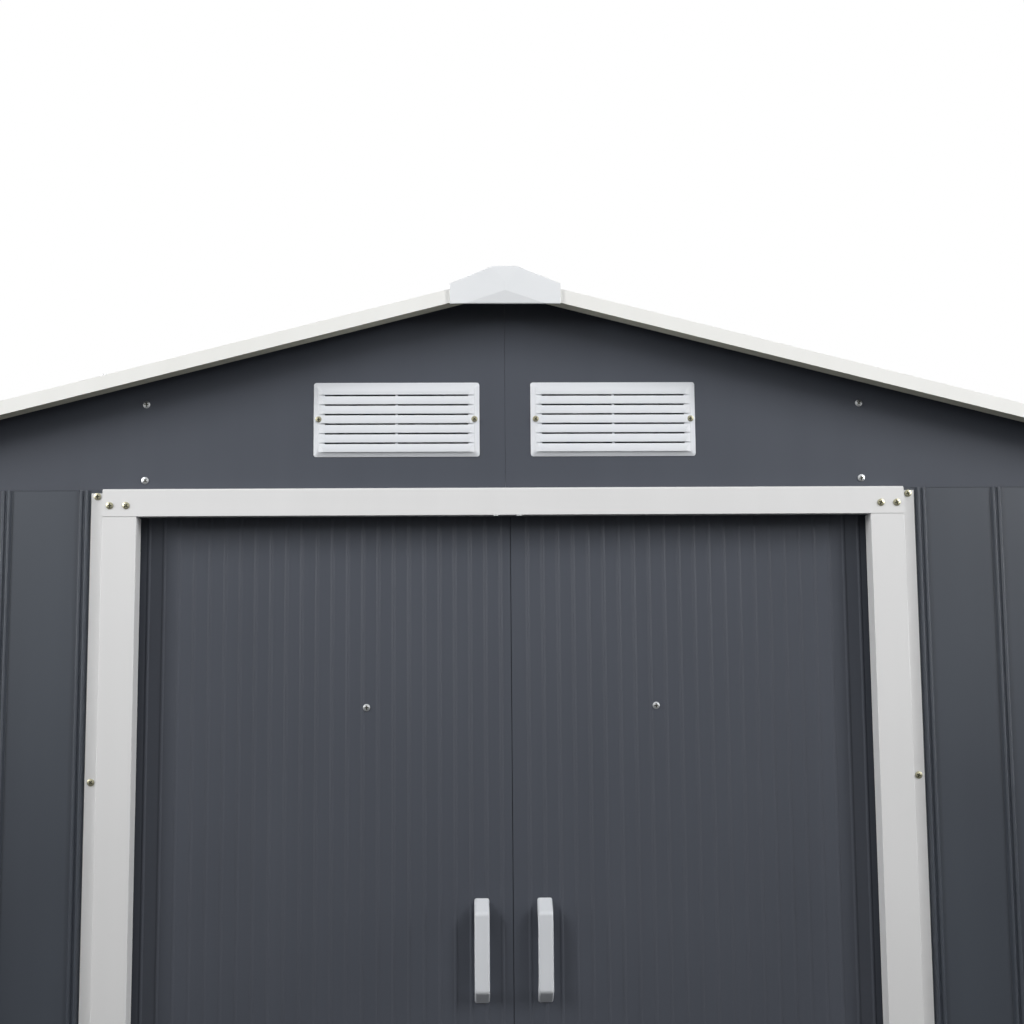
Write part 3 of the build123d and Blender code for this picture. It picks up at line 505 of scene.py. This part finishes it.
# Door screws at the braces, as far to each side of the seam between the doors
SEAM_X = 7.6 * MM
DOOR_SCREW_OUT = 0.217
BRACE_HEIGHTS = (0.046, 0.785, 1.2555)
for side, way in (("left", -1), ("right", 1)):
    sheet_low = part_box(side + "_door_sheet")[0]
    x = SEAM_X + way * DOOR_SCREW_OUT
    door_spots = [(Vector((x, sheet_low.y + BEAD_DEPTH, z)), TO_FRONT) for z in BRACE_HEIGHTS]
    fasteners(side + "_door_screws", side + "_door", pan_head, bright_zinc, door_spots)

# Floor, just under the shed
FLOOR_REACH = 30.0
FLOOR_DROP = 0.5 * MM
floor_mesh = bpy.data.meshes.new("floor")
floor_shape = bmesh.new()
bmesh.ops.create_grid(floor_shape, x_segments=1, y_segments=1, size=FLOOR_REACH)
bmesh.ops.translate(floor_shape, vec=(0, 0, -FLOOR_DROP), verts=floor_shape.verts)
floor_shape.to_mesh(floor_mesh)
floor_shape.free()
floor = bpy.data.objects.new("floor", floor_mesh)
bpy.context.scene.collection.objects.link(floor)

# Painted studio floor: pale to the eye with the shadow kept on it, swept up to white far off, and a
# duller bounce on to the shed
SWEEP_START = 2.5
SWEEP_END = 11.0
NEAR_GLOW = 0.5
FAR_GLOW = 0.9
ground, ground_tree, ground_shader, ground_place = start_material("pale_painted_studio_floor")
ground_ray = add(ground_tree, "ShaderNodeLightPath")
ground_tone = add(ground_tree, "ShaderNodeMix", {
    "Factor": ground_ray.outputs["Is Diffuse Ray"], "A": linear("#cfcfcf"), "B": linear("#848484")},
    data_type="RGBA")
ground_tree.links.new(ground_tone.outputs["Result"], ground_shader.inputs["Base Color"])
ground_reach = add(ground_tree, "ShaderNodeVectorMath", {0: ground_place}, operation="LENGTH")
ground_sweep = add(ground_tree, "ShaderNodeMapRange", {
    "Value": ground_reach.outputs["Value"], "From Min": SWEEP_START, "From Max": SWEEP_END,
    "To Min": NEAR_GLOW, "To Max": FAR_GLOW})
ground_glow = add(ground_tree, "ShaderNodeMath", {
    0: ground_ray.outputs["Is Camera Ray"], 1: ground_sweep.outputs["Result"]}, operation="MULTIPLY")
ground_shader.inputs["Emission Color"].default_value = linear("#ffffff")
ground_tree.links.new(ground_glow.outputs[0], ground_shader.inputs["Emission Strength"])
ground_shader.inputs["Roughness"].default_value = 0.9
floor_mesh.materials.append(ground)

# World: white to the eye and in reflections, a dimmer sky on the surfaces
AMBIENT = 0.18
world = bpy.data.worlds.new("studio")
world.use_nodes = True
bpy.context.scene.world = world
sky = world.node_tree
sky.nodes.clear()
ray = add(sky, "ShaderNodeLightPath").outputs
seen = ray["Is Camera Ray"]
for other in ("Is Glossy Ray", "Is Transmission Ray"):
    seen = add(sky, "ShaderNodeMath", {0: seen, 1: ray[other]}, operation="MAXIMUM").outputs[0]
dim = add(sky, "ShaderNodeBackground", {"Color": linear("#ffffff"), "Strength": AMBIENT})
white = add(sky, "ShaderNodeBackground", {"Color": linear("#ffffff"), "Strength": 1.0})
mixed = add(sky, "ShaderNodeMixShader", {0: seen, 1: dim.outputs[0], 2: white.outputs[0]})
add(sky, "ShaderNodeOutputWorld", {"Surface": mixed.outputs[0]})


def softbox(name, place, aim, size, watts, spread):
    """A soft rectangular lamp at a place, turned towards a point, with a grid that narrows its
    spread."""
    lamp = bpy.data.lights.new(name, "AREA")
    lamp.shape = "RECTANGLE"
    lamp.size, lamp.size_y = size
    lamp.energy = watts
    lamp.spread = math.radians(spread)
    stand = bpy.data.objects.new(name, lamp)
    stand.location = place
    stand.rotation_euler = (Vector(aim) - Vector(place)).to_track_quat("-Z", "Y").to_euler()
    bpy.context.scene.collection.objects.link(stand)


# Lamps: at each corner a stack of two softboxes for the gable and the roof, each at a level and a
# distance out, and further round a taller one for the side
STACK_WATTS = ((-1, 7.8), (1, 7.9))
STACK_LEVELS = ((2.75, 3.6), (3.9, 3.3))
STACK_X = 2.9
STACK_AIM_X = 0.6
STACK_AIM_Z = 2.1
SIDE_X = 4.2
SIDE_OUT = 1.6
SIDE_LEVEL = 2.0
SIDE_AIM_Z = 1.7
AIM_OUT = 0.9
for end, name in ((-1, "front"), (1, "rear")):
    for side, watts in STACK_WATTS:
        for level, out in STACK_LEVELS:
            softbox(f"{name}_{side}_{level}", place=(side * STACK_X, end * out, level),
                    aim=(side * STACK_AIM_X, end * AIM_OUT, STACK_AIM_Z),
                    size=(1.1, 1.3), watts=watts, spread=68)
        softbox(f"{name}_side_{side}", place=(side * SIDE_X, end * SIDE_OUT, SIDE_LEVEL),
                aim=(0, end * AIM_OUT, SIDE_AIM_Z), size=(1.0, 2.0), watts=19, spread=120)

# Camera at the photograph's viewing angle, solved for a square 1024 image
CAMERA_PLACE = Vector((-0.0585, -3.2827, 1.2482))
CAMERA_YAW = math.radians(1.634)
CAMERA_PITCH = math.radians(7.104)
CAMERA_ROLL = math.radians(-0.462)
IMAGE = 1024
FOCAL_PIXELS = 1600
lens = bpy.data.cameras.new("camera")
lens.sensor_width = 36.0
lens.lens = lens.sensor_width * FOCAL_PIXELS / IMAGE
camera = bpy.data.objects.new("camera", lens)
camera.matrix_world = (Matrix.Translation(CAMERA_PLACE) @ Matrix.Rotation(-CAMERA_YAW, 4, "Z")
                       @ Matrix.Rotation(math.pi / 2 + CAMERA_PITCH, 4, "X")
                       @ Matrix.Rotation(CAMERA_ROLL, 4, "Z"))
bpy.context.scene.collection.objects.link(camera)
bpy.context.scene.camera = camera
bpy.context.scene.view_settings.view_transform = "Standard"
